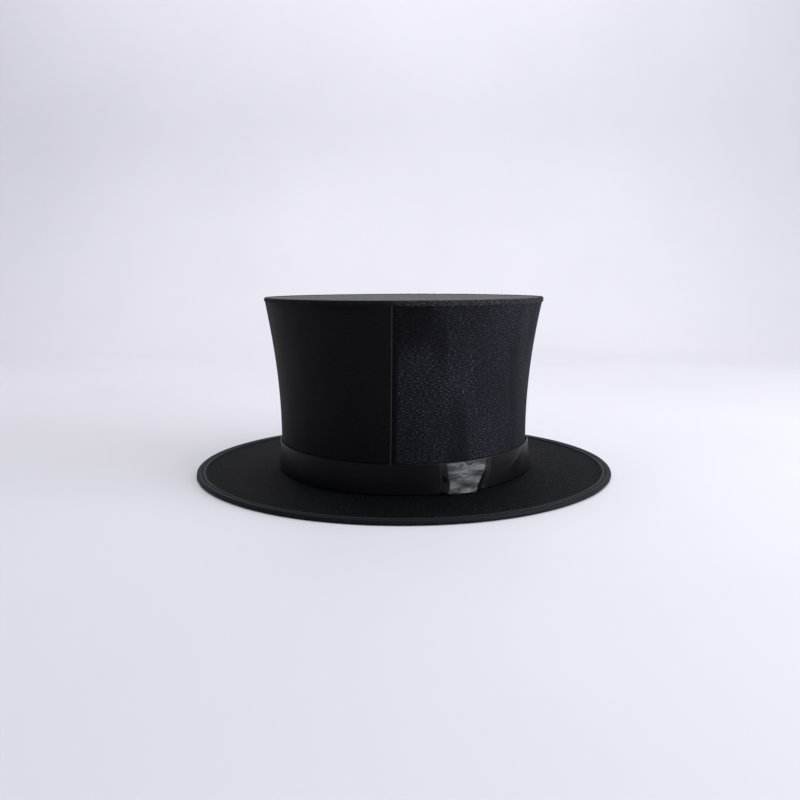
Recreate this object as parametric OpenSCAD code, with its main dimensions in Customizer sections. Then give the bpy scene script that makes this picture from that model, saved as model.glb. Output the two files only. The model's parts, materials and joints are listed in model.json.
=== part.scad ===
// Collapsible top hat: a cloth-covered crown that a set of sprung folding struts
// holds up, on a stiff oval brim. Folding the struts lowers the flat crown top
// onto the brim. +Z is up, the wearer looks along +Y, and all sizes are in mm.

/* [Head and crown] */
// Half width of the crown at its waist, outside the cloth
crown_half_width = 96.2; // [92:0.1:102]
// How much longer than wide the oval is, measured from centre to edge
oval_extra = 12; // [10:1:14]
// Height of the whole hat with the crown up
hat_height = 135; // [125:1:150]
// How far the crown's top edge stands out past its waist
crown_flare = 11.6; // [6:0.1:14]
// Height of the stiff collar, and of the ribbon band on it
collar_top = 25; // [22:1:32]

/* [Brim] */
// Width of the brim, from the crown's waist to its edge
brim_width = 65.4; // [45:0.1:75]
// Thickness of the brim's stiff board
brim_board_t = 1.2; // [1.2:0.1:2.4]
// How far the rolled edge stands up from the brim
edge_rise = 1; // [0.2:0.1:1.2]

/* [Folding struts] */
// Angle that each strut arm folds through
fold_angle = 80; // [74:1:82]
// Width of a strut arm
arm_w = 5; // [4:0.5:6]
// Thickness of a strut arm
arm_t = 0.8; // [0.6:0.1:0.8]
// Radius of the hinge pins
pin_r = 1; // [0.8:0.1:1.2]
// Radial clearance of a pin in the arm that turns on it
pin_clearance = 0.05; // [0.02:0.01:0.1]

/* [Hidden] */
$fn = 96;

// Colours
cloth_black = "#141416";
ribbon_black = "#1b1c20";
board_grey = "#3a3734";
lining_black = "#0f0f12";
leather = "#3b2a20";
spring_steel = "#8f9296";
rivet_steel = "#b4b6b8";

// Four struts, named by their place on the oval, and the angle of each place
BACK = 0;
FRONT = 1;
LEFT = 2;
RIGHT = 3;
STRUTS = [BACK, FRONT, LEFT, RIGHT];
strut_place = [-90, 90, 180, 0];

// The oval is drawn with four arcs whose centres lie on its two axes. The arcs
// meet on the lines through neighbouring centres, which form a 3-4-5 triangle.
centre_span = oval_extra / 0.4;
side_centre = 0.6 * centre_span;
end_centre = 0.8 * centre_span;
side_r = crown_half_width + side_centre;
end_r = side_r - centre_span;
join_angle = atan2(end_centre, side_centre);
crown_half_length = crown_half_width + oval_extra;
lap = 1;

// Heights from the floor up
cloth_t = 0.5;
edge_lip = 0.4;
board_z = edge_lip + cloth_t;
brim_top = board_z + brim_board_t + cloth_t;
brim_edge_t = brim_top + edge_rise;
hoop_t = 1.2;
foot_t = 0.8;
base_pivot_z = 9.5;
tip_board_t = 1.6;
tip_cover_t = 0.6;
tip_rim = 0.8;
tip_cover_z = hat_height - tip_rim - tip_cover_t;
tip_board_z = tip_cover_z - tip_board_t;
top_hoop_t = 1;
top_hoop_z = tip_board_z - top_hoop_t;
top_foot_z = top_hoop_z - foot_t;
top_pivot_z = top_foot_z - 5.7;
cover_top = tip_board_z - 0.6;
lining_top = top_foot_z - 0.6;

// Distances outward from the crown's waist line
wall_t = 0.6;
collar_t = 1.2;
band_t = 0.7;
pivot_in = 5;
brim_in = -11.1;
sweatband_out = -11.2;
sweatband_t = 0.9;
lining_out = -11.4;
lining_t = 0.4;
tip_out = crown_flare - 1;
top_hoop_out = tip_out - 1;
top_hoop_in = -8;
sewn_gap = 0.05;

// Strut geometry. In the folded strut the knee has moved along a chord of the
// oval that brings it back to the line of the pivots, inside the wall.
arm_len = (top_pivot_z - base_pivot_z) / 2;
knee_z = base_pivot_z + arm_len;
chord = arm_len * sin(fold_angle);
layer_gap = 0.1;
ear_t = 1;
head_r = 1.9;
head_t = 0.5;
spring_wire = 0.7;
spring_r = 1.6;
rivet_r = 0.9;

function end_strut(k) = abs(strut_place[k]) == 90;
function ring_r(k) = (end_strut(k) ? end_r : side_r) - pivot_in;
function off_normal(k) = acos(chord / (2 * ring_r(k)));
function strut_turn(k) = strut_place[k] + 180 - off_normal(k);
function strut_reach(k) = (end_strut(k) ? crown_half_length : crown_half_width) - pivot_in;

// How far the crown's cloth stands out from the waist line at height z: a
// straight wall at the collar that flares more and more towards the top
function flare(z) = crown_flare * pow((z - collar_top) / (hat_height - collar_top), 2);
wall_steps = 8;
function wall_z(i) = collar_top + (cover_top - collar_top) * i / wall_steps;

// Stands a strut's own frame at its pivots: x is the way the arms fold, y points
// into the hat, and z is up
module at_strut(k) {
    rotate([0, 0, strut_place[k]])
        translate([strut_reach(k), 0, 0])
            rotate([0, 0, strut_turn(k) - strut_place[k]])
                children();
}

// A disc or a cylinder that lies along the strut's y axis, from y0 to y1
module along_y(y0, y1, r) {
    translate([0, y1, 0]) rotate([90, 0, 0]) cylinder(h = y1 - y0, r = r);
}

// The flat oval that lies out outside the waist line
module oval(out) {
    intersection() {
        translate([-side_centre, 0]) circle(r = side_r + out);
        translate([side_centre, 0]) circle(r = side_r + out);
        square([4 * side_r, 2 * (end_centre + 0.8 * (end_r + out))], center = true);
    }
    for (s = [-1, 1])
        translate([0, s * end_centre]) circle(r = end_r + out);
}

// A flat oval ring or, with no inner size, a plate
module oval_ring(out, z0, z1, inner = undef) {
    translate([0, 0, z0])
        linear_extrude(height = z1 - z0)
            difference() {
                oval(out);
                if (inner != undef) oval(inner);
            }
}

// Sweeps a section round the oval. The section's x is the distance outward from
// the waist line, and its y is the height.
module oval_sweep() {
    for (mx = [0, 1], my = [0, 1])
        mirror([mx, 0, 0]) mirror([0, my, 0]) {
            translate([-side_centre, 0, 0]) mirror([0, 1, 0]) rotate([0, 0, -join_angle])
                rotate_extrude(angle = join_angle + lap)
                    translate([side_r, 0]) children();
            translate([0, end_centre, 0]) rotate([0, 0, join_angle])
                rotate_extrude(angle = 90 - join_angle + lap)
                    translate([end_r, 0]) children();
        }
}

// ---- Brim ----

module brim_under_cover() {
    color(cloth_black)
        oval_ring(brim_width - 1.4, edge_lip, board_z, brim_in);
}

module brim_board() {
    color(board_grey)
        oval_ring(brim_width - 2.9, board_z, board_z + brim_board_t, brim_in);
}

module brim_top_cover() {
    color(cloth_black)
        oval_ring(brim_width - 1.4, brim_top - cloth_t, brim_top, brim_in);
}

module brim_edge_wire() {
    wire_r = 0.55;
    color(spring_steel)
        oval_sweep()
            translate([brim_width - 2.15, board_z + brim_board_t / 2]) circle(r = wire_r, $fn = 8);
}

// A strip of cloth folded over the wired edge, thick at the rim and thin where
// it is stitched down on the brim
module brim_edge_binding() {
    edge = brim_width;
    inner = edge - 1.4;
    lap_in = edge - 6.8;
    top = (brim_edge_t + brim_top) / 2;
    color(cloth_black)
        oval_sweep()
            polygon([[lap_in, 0], [edge - 1, 0], [edge - 0.3, brim_edge_t * 0.2],
                [edge, brim_edge_t * 0.5], [edge - 0.3, brim_edge_t * 0.8],
                [edge - 1, brim_edge_t], [edge - 4.5, top], [lap_in, top],
                [lap_in, brim_top], [inner, brim_top], [inner, edge_lip], [lap_in, edge_lip]]);
}

// ---- Collar, band and sweatband ----

module base_hoop() {
    color(spring_steel)
        oval_ring(-2.2, brim_top, brim_top + hoop_t, -10.6);
}

module collar_board() {
    color(board_grey)
        oval_ring(-cloth_t, brim_top, collar_top, -cloth_t - collar_t);
}

module collar_cover() {
    color(cloth_black)
        oval_ring(0, brim_top, collar_top, -cloth_t);
}

module hat_band() {
    color(ribbon_black)
        oval_ring(band_t, brim_top, collar_top, 0);
}

// The ribbon's ends, gathered and overlapped to one side of the back
module band_join() {
    join_from = 24;
    join_to = 58;
    color(ribbon_black)
        intersection() {
            oval_ring(band_t + 0.9, brim_top + 0.4, collar_top - 0.6, band_t + sewn_gap);
            translate([join_from, -2 * crown_half_length, 0])
                cube([join_to - join_from, 2 * crown_half_length, collar_top]);
        }
}

module sweatband() {
    color(leather)
        oval_ring(sweatband_out, edge_lip, collar_top, sweatband_out - sweatband_t);
}

// A small ribbon bow on the sweatband, inside the back of the hat
module sweatband_bow() {
    bow_z = 18;
    bow_y = -(crown_half_length + sweatband_out - sweatband_t - sewn_gap);
    color(ribbon_black)
        translate([0, bow_y, bow_z]) {
            for (s = [-1, 1])
                hull() {
                    translate([0, 0.6, 0]) cube([1, 1, 2], center = true);
                    translate([s * 8, 1.6, 0]) cube([1, 1, 6], center = true);
                }
            translate([0, 0.9, 0]) cube([3, 1.8, 3.4], center = true);
        }
}

// ---- Crown wall ----

// The wall's section: outer and inner faces follow the flare, wall_t apart
module wall_section(out = 0, thick = wall_t) {
    polygon(concat(
        [for (i = [0 : wall_steps]) [flare(wall_z(i)) + out, wall_z(i)]],
        [for (i = [wall_steps : -1 : 0]) [flare(wall_z(i)) + out - thick, wall_z(i)]]));
}

// Everything to one side of the line through the back and front seams
seam_angle = 4.6;
module beside_seams(side) {
    rotate([0, 0, -seam_angle])
        translate([side * 2 * side_r, 0, hat_height / 2])
            cube([4 * side_r, 4 * side_r, 2 * hat_height], center = true);
}

module side_cover(side) {
    color(cloth_black)
        intersection() {
            oval_sweep() wall_section();
            beside_seams(side);
        }
}

// A narrow welt on one of the two seams: side is -1 at the back, 1 at the front.
// Each seam crosses an end arc, so its welt is a short turn about that arc's centre.
module seam_welt(side) {
    welt_turn = 1.1;
    from_end = asin(crown_half_length * sin(seam_angle) / end_r);
    color(cloth_black)
        translate([0, side * end_centre, 0])
            rotate([0, 0, side * 90 - from_end - welt_turn / 2])
                rotate_extrude(angle = welt_turn)
                    translate([end_r, 0])
                        wall_section(out = 0.4, thick = 0.4);
}

module side_lining() {
    color(lining_black)
        oval_ring(lining_out, collar_top, lining_top, lining_out - lining_t);
}

// ---- Folding struts ----

// Layers along a strut's y axis: the lower arm and the ear of the top bracket
// lie on the outer side of y = 0, the upper arm and the base ear on the inner
outer_face = -(layer_gap + arm_t);
outer_near = -layer_gap;
inner_near = layer_gap;
inner_face = layer_gap + arm_t;

module base_bracket(k) {
    ear_w = 7;
    foot_z = brim_top + hoop_t;
    foot_len = 5;
    color(spring_steel)
        at_strut(k)
            difference() {
                union() {
                    translate([-ear_w / 2, inner_near, foot_z])
                        cube([ear_w, ear_t, base_pivot_z - foot_z]);
                    translate([-ear_w / 2, inner_near, foot_z])
                        cube([ear_w, foot_len, foot_t]);
                    translate([0, 0, base_pivot_z])
                        along_y(inner_near, inner_near + ear_t, ear_w / 2);
                }
                translate([0, 0, base_pivot_z]) along_y(-1, 3, pin_r);
                for (s = [-1, 1])
                    translate([s * rivet_gap, inner_near + rivet_in, 0])
                        cylinder(h = 20, r = rivet_r);
            }
}

// A foot's two rivets lie this far to each side and this far in from the ear
rivet_gap = 2.1;
rivet_in = 3.2;

module base_rivets() {
    head_h = 0.4;
    color(rivet_steel)
        for (k = STRUTS, s = [-1, 1])
            at_strut(k)
                translate([s * rivet_gap, inner_near + rivet_in, brim_top + hoop_t]) {
                    cylinder(h = foot_t, r = rivet_r);
                    translate([0, 0, foot_t]) cylinder(h = head_h, r = rivet_r + 0.4);
                }
}

// A pin with a head at each end, across the two layers
module hinge_pin(z, y0, y1) {
    translate([0, 0, z]) {
        along_y(y0, y1, pin_r);
        along_y(y0 - head_t, y0, head_r);
        along_y(y1, y1 + head_t, head_r);
    }
}

module base_pin(k) {
    color(rivet_steel)
        at_strut(k) hinge_pin(base_pivot_z, outer_face - layer_gap, inner_near + ear_t);
}

// A flat arm with round ends between two heights, from y0 to y1, with a hole of
// its own radius at each end
module arm_strip(z0, z1, y0, y1, hole0, hole1) {
    difference() {
        union() {
            translate([-arm_w / 2, y0, z0]) cube([arm_w, y1 - y0, z1 - z0]);
            for (z = [z0, z1])
                translate([0, 0, z]) along_y(y0, y1, arm_w / 2);
        }
        translate([0, 0, z0]) along_y(y0 - 1, y1 + 1, hole0);
        translate([0, 0, z1]) along_y(y0 - 1, y1 + 1, hole1);
    }
}

module lower_arm(k) {
    color(spring_steel)
        at_strut(k)
            arm_strip(base_pivot_z, knee_z, outer_face, outer_near, pin_r + pin_clearance, pin_r);
}

module upper_arm(k) {
    color(spring_steel)
        at_strut(k)
            arm_strip(knee_z, top_pivot_z, inner_near, inner_face,
                pin_r + pin_clearance, pin_r + pin_clearance);
}

// The knee pin is fixed in the lower arm and also carries the spring's coil
spring_y1 = outer_face - layer_gap;
spring_y0 = spring_y1 - spring_wire;
module knee_pin(k) {
    color(rivet_steel)
        at_strut(k) hinge_pin(knee_z, spring_y0 - layer_gap, inner_face + layer_gap);
}

// A wire coil round the knee pin. One leg lies on the lower arm, and the other
// hooks over the edge of the upper arm to push the knee straight.
module knee_spring(k) {
    leg = 16;
    wire_y = (spring_y0 + spring_y1) / 2;
    wire_r = spring_wire / 2;
    color(rivet_steel)
        at_strut(k)
            translate([0, 0, knee_z]) {
                difference() {
                    along_y(spring_y0, spring_y1, spring_r + wire_r);
                    along_y(spring_y0 - 1, spring_y1 + 1, spring_r - wire_r);
                }
                translate([spring_r, wire_y, -leg]) cylinder(h = leg, r = wire_r);
                translate([-spring_r, wire_y, 0]) cylinder(h = leg, r = wire_r);
                translate([-spring_r, 0, leg - wire_r]) along_y(wire_y, 0, wire_r);
            }
}

// ---- Crown top ----

module top_pin(k) {
    color(rivet_steel)
        at_strut(k) hinge_pin(top_pivot_z, outer_near - ear_t, inner_face + layer_gap);
}

module top_bracket(k) {
    ear_w = 7;
    foot_len = 5;
    ear_top = top_foot_z + foot_t;
    color(spring_steel)
        at_strut(k)
            difference() {
                union() {
                    translate([-ear_w / 2, outer_near - ear_t, top_pivot_z])
                        cube([ear_w, ear_t, ear_top - top_pivot_z]);
                    translate([-ear_w / 2, outer_near - foot_len, top_foot_z])
                        cube([ear_w, foot_len, foot_t]);
                    translate([0, 0, top_pivot_z])
                        along_y(outer_near - ear_t, outer_near, ear_w / 2);
                }
                translate([0, 0, top_pivot_z]) along_y(-3, 1, pin_r);
                for (s = [-1, 1])
                    translate([s * rivet_gap, outer_near - rivet_in, top_foot_z - 1])
                        cylinder(h = 4, r = rivet_r);
            }
}

module top_rivets() {
    head_h = 0.4;
    color(rivet_steel)
        for (k = STRUTS, s = [-1, 1])
            at_strut(k)
                translate([s * rivet_gap, outer_near - rivet_in, top_foot_z]) {
                    cylinder(h = foot_t, r = rivet_r);
                    translate([0, 0, -head_h]) cylinder(h = head_h, r = rivet_r + 0.4);
                }
}

// A flat hoop under the tip board, which the top brackets are riveted to
module top_hoop() {
    color(spring_steel)
        oval_ring(top_hoop_out, top_hoop_z, tip_board_z, top_hoop_in);
}

module tip_board() {
    color(board_grey)
        oval_ring(tip_out, tip_board_z, tip_cover_z);
}

module tip_cover() {
    color(cloth_black)
        oval_ring(tip_out, tip_cover_z, tip_cover_z + tip_cover_t);
}

// The welt round the crown's top edge
module tip_binding() {
    color(cloth_black)
        oval_sweep()
            polygon([[tip_out, tip_board_z], [crown_flare - 0.3, tip_board_z],
                [crown_flare, tip_board_z + 0.8], [crown_flare, hat_height - 0.8],
                [crown_flare - 0.4, hat_height], [tip_out + 0.1, hat_height],
                [tip_out - 1, tip_cover_z + tip_cover_t], [tip_out, tip_cover_z + tip_cover_t]]);
}

module tip_lining() {
    color(lining_black)
        oval_ring(top_hoop_in - 0.2, tip_board_z - cloth_t, tip_board_z);
}

brim_under_cover();
brim_board();
brim_top_cover();
brim_edge_wire();
brim_edge_binding();
base_hoop();
base_rivets();
collar_board();
collar_cover();
hat_band();
band_join();
side_cover(-1);  // side_cover_left
side_cover(1);  // side_cover_right
seam_welt(-1);  // back_seam
seam_welt(1);  // front_seam
side_lining();
sweatband();
sweatband_bow();
base_bracket(BACK);  // base_bracket_back
base_bracket(FRONT);  // base_bracket_front
base_bracket(LEFT);  // base_bracket_left
base_bracket(RIGHT);  // base_bracket_right
base_pin(BACK);  // base_pin_back
base_pin(FRONT);  // base_pin_front
base_pin(LEFT);  // base_pin_left
base_pin(RIGHT);  // base_pin_right
lower_arm(BACK);  // lower_arm_back
lower_arm(FRONT);  // lower_arm_front
lower_arm(LEFT);  // lower_arm_left
lower_arm(RIGHT);  // lower_arm_right
knee_pin(BACK);  // knee_pin_back
knee_pin(FRONT);  // knee_pin_front
knee_pin(LEFT);  // knee_pin_left
knee_pin(RIGHT);  // knee_pin_right
knee_spring(BACK);  // knee_spring_back
knee_spring(FRONT);  // knee_spring_front
knee_spring(LEFT);  // knee_spring_left
knee_spring(RIGHT);  // knee_spring_right
upper_arm(BACK);  // upper_arm_back
upper_arm(FRONT);  // upper_arm_front
upper_arm(LEFT);  // upper_arm_left
upper_arm(RIGHT);  // upper_arm_right
top_pin(BACK);  // top_pin_back
top_pin(FRONT);  // top_pin_front
top_pin(LEFT);  // top_pin_left
top_pin(RIGHT);  // top_pin_right
top_bracket(BACK);  // top_bracket_back
top_bracket(FRONT);  // top_bracket_front
top_bracket(LEFT);  // top_bracket_left
top_bracket(RIGHT);  // top_bracket_right
top_rivets();
top_hoop();
tip_board();
tip_cover();
tip_binding();
tip_lining();
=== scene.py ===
import json
import math
import random

import bpy
import numpy as np
from mathutils import Matrix, Vector, noise


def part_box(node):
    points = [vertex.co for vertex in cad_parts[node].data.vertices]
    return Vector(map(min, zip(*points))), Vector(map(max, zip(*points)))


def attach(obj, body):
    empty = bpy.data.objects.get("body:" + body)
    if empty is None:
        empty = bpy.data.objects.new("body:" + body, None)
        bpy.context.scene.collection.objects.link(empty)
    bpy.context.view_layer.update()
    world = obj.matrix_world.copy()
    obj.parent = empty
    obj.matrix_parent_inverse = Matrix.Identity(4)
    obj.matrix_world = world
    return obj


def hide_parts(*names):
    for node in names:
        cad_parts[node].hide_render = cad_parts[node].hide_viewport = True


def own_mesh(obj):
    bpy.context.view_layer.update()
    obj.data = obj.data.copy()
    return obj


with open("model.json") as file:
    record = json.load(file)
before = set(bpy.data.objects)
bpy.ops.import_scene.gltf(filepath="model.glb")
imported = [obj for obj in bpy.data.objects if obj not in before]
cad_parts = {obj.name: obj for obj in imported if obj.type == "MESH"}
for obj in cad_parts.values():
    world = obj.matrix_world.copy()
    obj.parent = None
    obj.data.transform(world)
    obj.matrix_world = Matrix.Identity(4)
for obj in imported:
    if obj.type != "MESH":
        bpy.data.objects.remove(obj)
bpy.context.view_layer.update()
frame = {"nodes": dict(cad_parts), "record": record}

MM = 0.001
JOINTS = {j["name"]: j for j in frame["record"]["behaviour"]["joints"]}

# ---------------------------------------------------------------- the hat's oval

# The oval is drawn with four arcs. Their centres make a 3-4-5 triangle, so its
# sides are worked out from how much longer than wide the oval is.
collar_lo, collar_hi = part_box("collar_cover")
WAIST_X = collar_hi.x
WAIST_Y = collar_hi.y
CENTRE_SPAN = (WAIST_Y - WAIST_X) / 0.4
SIDE_CENTRE = 0.6 * CENTRE_SPAN
END_CENTRE = 0.8 * CENTRE_SPAN
SIDE_R = WAIST_X + SIDE_CENTRE
END_R = SIDE_R - CENTRE_SPAN

BRIM_TOP = collar_lo.z
COLLAR_TOP = collar_hi.z
HAT_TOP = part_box("tip_binding")[1].z
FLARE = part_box("tip_binding")[1].x - WAIST_X
BRIM_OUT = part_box("brim_edge_binding")[1].x - WAIST_X
SWEAT_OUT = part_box("sweatband")[1].x - WAIST_X
BAND_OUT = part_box("hat_band")[1].x - WAIST_X
COVER_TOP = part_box("side_cover_left")[1].z
BACK = -math.pi / 2

# How low the crown top's welt hangs.
RIM_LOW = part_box("tip_binding")[0].z - 0.9 * MM


def oval(turn, out=0.0):
    """x and y of the oval that lies out outside the waist, where its normal points to turn."""
    turn = np.asarray(turn, float)
    c, s = np.cos(turn), np.sin(turn)
    side = np.abs(c) >= 0.6
    cx = np.where(side, -np.sign(c) * SIDE_CENTRE, 0.0)
    cy = np.where(side, 0.0, np.sign(s) * END_CENTRE)
    r = np.where(side, SIDE_R, END_R) + out
    return cx + r * c, cy + r * s


def flare(z):
    """How far the crown's cloth stands out from the waist at height z."""
    up = np.clip((np.asarray(z, float) - COLLAR_TOP) / (HAT_TOP - COLLAR_TOP), 0, None)
    return FLARE * up**2


def arc_lengths(turns):
    """Distance along the waist to each turn, from the first of them."""
    x, y = oval(turns)
    return np.concatenate([[0], np.cumsum(np.hypot(np.diff(x), np.diff(y)))])


# ---------------------------------------------------------------- meshes

def link(name, data):
    obj = bpy.data.objects.new(name, data)
    bpy.context.collection.objects.link(obj)
    return obj


def grid_object(name, points, uvs, close_u=False, close_v=False):
    """A mesh from a grid of points, shaped (u, v, 3), with UVs in metres.
    A direction that closes on itself needs one more row of UVs than of points."""
    nu, nv = points.shape[:2]
    faces, loops = [], []
    for i in range(nu if close_u else nu - 1):
        for j in range(nv if close_v else nv - 1):
            i1, j1 = (i + 1) % nu, (j + 1) % nv
            faces.append((i * nv + j, i1 * nv + j, i1 * nv + j1, i * nv + j1))
            loops += [uvs[i, j], uvs[i + 1, j], uvs[i + 1, j + 1], uvs[i, j + 1]]
    mesh = bpy.data.meshes.new(name)
    mesh.from_pydata(points.reshape(-1, 3).tolist(), [], faces)
    mesh.uv_layers.new(name="cloth").data.foreach_set("uv", np.array(loops, np.float32).ravel())
    mesh.polygons.foreach_set("use_smooth", [True] * len(mesh.polygons))
    mesh.update()
    return link(name, mesh)


def sweep(name, turns, section, shape=None, closed=True, lean=None):
    """Sweeps a closed section, a list of (out, z), round the oval at the given turns.
    shape(s, k, out, z) may move each point, where s is the distance along the waist and k the section's point.
    lean(turn, z) may turn a point further round."""
    turns = np.asarray(turns, float)
    section = np.asarray(section, float)
    along = arc_lengths(turns)
    n, m = len(turns), len(section)
    out, z = (np.tile(section[:, k], (n, 1)) for k in (0, 1))
    if shape is not None:
        out, z = shape(along[:, None], np.arange(m)[None, :], out, z)
    turned = turns[:, None] + (0 if lean is None else lean(turns[:, None], z))
    x, y = oval(turned + 0 * z, out)
    points = np.stack([x, y, z], 2)
    steps = np.hypot(*np.diff(np.vstack([section, section[:1]]), axis=0).T)
    down = np.concatenate([[0], np.cumsum(steps)])
    if closed:
        along = np.append(along, along[-1] + np.hypot(x[0, 0] - x[-1, 0], y[0, 0] - y[-1, 0]))
    uvs = np.stack(np.meshgrid(along, down, indexing="ij"), 2)
    obj = grid_object(name, points, uvs, close_u=closed, close_v=True)
    if not closed:
        cap_ends(obj, n, m)
    return obj


def add_faces(obj, faces, verts=(), smooth=0):
    """Adds faces, and the points they need, to a mesh with UVs. The first few may be smooth, and the rest are flat."""
    mesh = obj.data
    uvs = np.zeros(2 * len(mesh.loops), np.float32)
    mesh.uv_layers[0].data.foreach_get("uv", uvs)
    old = [tuple(p.vertices) for p in mesh.polygons]
    new = bpy.data.meshes.new(mesh.name)
    new.from_pydata([tuple(v.co) for v in mesh.vertices] + list(verts), [], old + faces)
    all_uvs = np.zeros(2 * len(new.loops), np.float32)
    all_uvs[: len(uvs)] = uvs
    new.uv_layers.new(name="cloth").data.foreach_set("uv", all_uvs)
    smooth += len(old)
    new.polygons.foreach_set("use_smooth", [k < smooth for k in range(len(new.polygons))])
    obj.data = new


def cap_ends(obj, n, m):
    """Closes the two ends of a strip or tube swept from n sections of m points."""
    add_faces(obj, [tuple(range(m - 1, -1, -1)), tuple((n - 1) * m + k for k in range(m))])


def close_disc(obj, n, rows, under_z):
    """Turns a disc's skin into a closed thin solid: fills its middle and adds its underside and rim."""
    rim = [i * rows for i in range(n)]
    under = [(*obj.data.vertices[i].co[:2], under_z) for i in rim]
    start = n * rows
    middle = tuple(i + rows - 1 for i in rim)
    base = tuple(start + i for i in range(n - 1, -1, -1))
    sides = [(rim[(i + 1) % n], rim[i], start + i, start + (i + 1) % n) for i in range(n)]
    add_faces(obj, [middle, base, *sides], under, smooth=1)


def disc_object(name, out, count, shares, z, pitch, under_z):
    """A flat oval disc, closed underneath: z(x, y, share, turns) is its top skin, where share is 1 at the rim."""
    turns = full_turn(count)
    x, y = oval(turns, out)
    points = np.stack([np.stack([x * share, y * share, z(x, y, share, turns)], 1) for share in shares], 1)
    uvs = np.stack(np.meshgrid(whole_turn(turns) * pitch, shares * pitch, indexing="ij"), 2)
    obj = grid_object(name, points, uvs, close_u=True)
    close_disc(obj, count, len(shares), under_z)
    return obj


def full_turn(count):
    """Turns evenly round the oval, from the middle of the back towards the wearer's right."""
    return BACK + np.arange(count) * 2 * math.pi / count


def whole_turn(turns):
    """The turns, with the first of them once more at the end."""
    return np.append(turns, turns[0] + 2 * math.pi)


def wobble(s, z, scale, seed):
    """Smooth noise over a surface, about -1 to 1, from the distance along it and the height."""
    s, z = np.broadcast_arrays(s, z)
    flat = [noise.noise(Vector((a / scale[0], b / scale[1], seed))) for a, b in zip(s.ravel(), z.ravel())]
    return np.array(flat).reshape(s.shape) * 1.6


def round_wobble(turns, heights, scale, seed):
    """Smooth noise round the whole hat that meets itself at the ends."""
    turns, heights = np.broadcast_arrays(turns, heights)
    x, y = oval(turns.ravel())
    places = zip(x, y, heights.ravel())
    flat = [noise.noise(Vector((a / scale, b / scale, c / scale + seed))) for a, b, c in places]
    return np.array(flat).reshape(turns.shape) * 1.6


# ---------------------------------------------------------------- materials

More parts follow.
